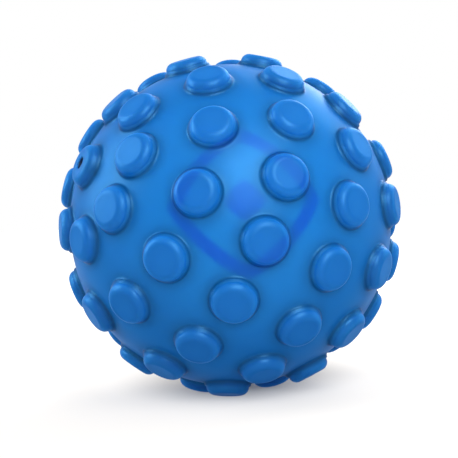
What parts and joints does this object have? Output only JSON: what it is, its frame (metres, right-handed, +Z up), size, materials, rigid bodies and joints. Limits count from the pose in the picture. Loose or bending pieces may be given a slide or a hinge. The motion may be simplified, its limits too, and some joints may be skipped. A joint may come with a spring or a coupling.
{
  "type": "nubbed robot ball",
  "caption": "Self-rolling ball in a translucent nubbed elastomer cover, usable as a hand massage ball, with a two-wheeled drive unit inside.",
  "frame": {"origin": "centre of the ball, which is the common centre of the cover, the shell and the drive unit's roll axis", "axes": "+Z up with the ball standing on three nubs, +X along the drive unit's axle line, -Y towards the printed mark on the front shell"},
  "size_m": [0.086, 0.0862, 0.0856],
  "materials": {
    "blue_elastomer": "satin translucent elastomer",
    "pale_shell": "gloss polycarbonate, printed",
    "dark_plastic": "matte",
    "white_acetal": "matte",
    "gear_acetal": "matte",
    "black_tyre": "matte",
    "steel": "satin",
    "brass": "satin",
    "copper_coil": "enamelled",
    "ferrite": "matte",
    "battery_foil": "satin foil",
    "circuit_board": "satin",
    "chip_resin": "matte",
    "lamp_resin": "gloss"
  },
  "bodies": {
    "ball": {"front_shell": "pale_shell", "nub_cover": "blue_elastomer", "rear_shell": "pale_shell"},
    "drive_unit": {"ballast_weight": "brass", "base_screw": "steel", "battery_pack": "battery_foil", "battery_socket": "dark_plastic", "charging_coil": "copper_coil", "chassis_frame": "dark_plastic", "coil_ferrite": "ferrite", "front_battery_stop": "dark_plastic", "front_board_bracket": "dark_plastic", "front_board_screw": "steel", "front_clamp_screw": "steel", "front_lamp": "lamp_resin", "front_left_bracket_screw": "steel", "front_right_bracket_screw": "steel", "left_cluster_pin": "steel", "left_mast_screw": "steel", "left_motor": "steel", "left_motor_cap": "dark_plastic", "left_wheel_axle": "steel", "main_board": "circuit_board", "mast_post": "dark_plastic", "mast_spring": "steel", "mast_stop_screw": "steel", "motion_sensor": "chip_resin", "motor_clamp": "dark_plastic", "motor_cradle": "dark_plastic", "processor_chip": "chip_resin", "radio_module": "chip_resin", "rear_battery_stop": "dark_plastic", "rear_board_bracket": "dark_plastic", "rear_board_screw": "steel", "rear_clamp_screw": "steel", "rear_lamp": "lamp_resin", "rear_left_bracket_screw": "steel", "rear_right_bracket_screw": "steel", "right_cluster_pin": "steel", "right_mast_screw": "steel", "right_motor": "steel", "right_motor_cap": "dark_plastic", "right_wheel_axle": "steel"},
    "right_wheel": {"right_tyre": "black_tyre", "right_wheel_gear": "gear_acetal", "right_wheel_hub": "white_acetal"},
    "left_wheel": {"left_tyre": "black_tyre", "left_wheel_gear": "gear_acetal", "left_wheel_hub": "white_acetal"},
    "right_cluster": {"right_cluster_gear": "gear_acetal"},
    "left_cluster": {"left_cluster_gear": "gear_acetal"},
    "right_motor_rotor": {"right_motor_shaft": "steel", "right_pinion": "brass"},
    "left_motor_rotor": {"left_motor_shaft": "steel", "left_pinion": "brass"},
    "mast_head_body": {"front_idler_pin": "steel", "mast_head": "dark_plastic", "rear_idler_pin": "steel"},
    "front_idler": {"front_idler_roller": "white_acetal"},
    "rear_idler": {"rear_idler_roller": "white_acetal"}
  },
  "joints": [
    {"name": "drive_roll", "type": "hinge", "parent": "ball", "child": "drive_unit", "pos_m": [0, 0, 0], "axis": [1, 0, 0], "continuous": true},
    {"name": "right_wheel_spin", "type": "hinge", "parent": "drive_unit", "child": "right_wheel", "pos_m": [0.0175, 0, -0.01715], "axis": [1, 0, 0], "continuous": true},
    {"name": "right_cluster_spin", "type": "hinge", "parent": "drive_unit", "child": "right_cluster", "pos_m": [0.0109, 0.0065, -0.0082], "axis": [1, 0, 0], "continuous": true},
    {"name": "right_motor_spin", "type": "hinge", "parent": "drive_unit", "child": "right_motor_rotor", "pos_m": [0.01075, 0.0065, 0.00311], "axis": [1, 0, 0], "continuous": true},
    {"name": "left_wheel_spin", "type": "hinge", "parent": "drive_unit", "child": "left_wheel", "pos_m": [-0.0175, 0, -0.01715], "axis": [1, 0, 0], "continuous": true},
    {"name": "left_cluster_spin", "type": "hinge", "parent": "drive_unit", "child": "left_cluster", "pos_m": [-0.0109, -0.0065, -0.0082], "axis": [1, 0, 0], "continuous": true},
    {"name": "left_motor_spin", "type": "hinge", "parent": "drive_unit", "child": "left_motor_rotor", "pos_m": [-0.01075, -0.0065, 0.00311], "axis": [1, 0, 0], "continuous": true},
    {"name": "mast_slide", "type": "slide", "parent": "drive_unit", "child": "mast_head_body", "axis": [0, 0, 1], "range_m": [-0.003, 0], "stiffness_N_per_m": 150, "springref_m": 0.008, "deforming": ["mast_spring"]},
    {"name": "front_idler_spin", "type": "hinge", "parent": "mast_head_body", "child": "front_idler", "pos_m": [0, -0.007, 0.0302], "axis": [1, 0, 0], "continuous": true},
    {"name": "rear_idler_spin", "type": "hinge", "parent": "mast_head_body", "child": "rear_idler", "pos_m": [0, 0.007, 0.0302], "axis": [1, 0, 0], "continuous": true}
  ],
  "couplings": [
    {"joint": "right_wheel_spin", "follows": "drive_roll", "ratio": -2.4171},
    {"joint": "right_cluster_spin", "follows": "drive_roll", "ratio": 8.2181},
    {"joint": "right_motor_spin", "follows": "drive_roll", "ratio": -32.873},
    {"joint": "left_wheel_spin", "follows": "drive_roll", "ratio": -2.4171},
    {"joint": "left_cluster_spin", "follows": "drive_roll", "ratio": 8.2181},
    {"joint": "left_motor_spin", "follows": "drive_roll", "ratio": -32.873},
    {"joint": "front_idler_spin", "follows": "drive_roll", "ratio": -9.1579},
    {"joint": "rear_idler_spin", "follows": "drive_roll", "ratio": -9.1579}
  ]
}
